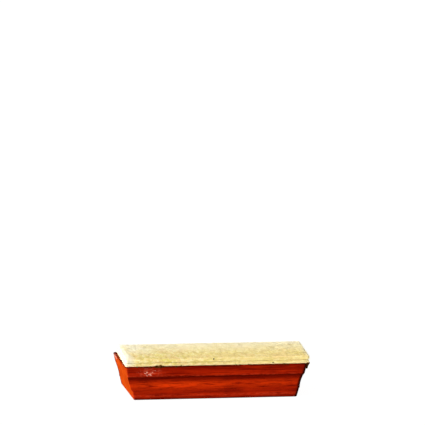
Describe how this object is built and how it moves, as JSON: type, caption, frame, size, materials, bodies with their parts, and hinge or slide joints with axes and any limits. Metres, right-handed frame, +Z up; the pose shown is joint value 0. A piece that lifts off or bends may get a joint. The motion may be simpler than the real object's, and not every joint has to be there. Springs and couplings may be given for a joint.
{
  "type": "chalkboard eraser",
  "caption": "Wooden block with a finger cove along each long side, sloping ends and a layered felt wiping pad glued on one face.",
  "frame": {"origin": "under the middle of the whole eraser, on the handle's flat back, which it lies on", "axes": "+X along the eraser towards the end where the felt overhangs, +Y across it, +Z up from the back to the felt"},
  "size_m": [0.1559, 0.0508, 0.0338],
  "materials": {
    "stained_wood": "satin",
    "dried_glue": "matte",
    "wool_felt": "matte"
  },
  "bodies": {
    "root": {"wood_handle": "stained_wood", "handle_glue": "dried_glue", "backing_felt": "wool_felt", "layer_glue": "dried_glue", "wiping_felt": "wool_felt"}
  },
  "joints": []
}
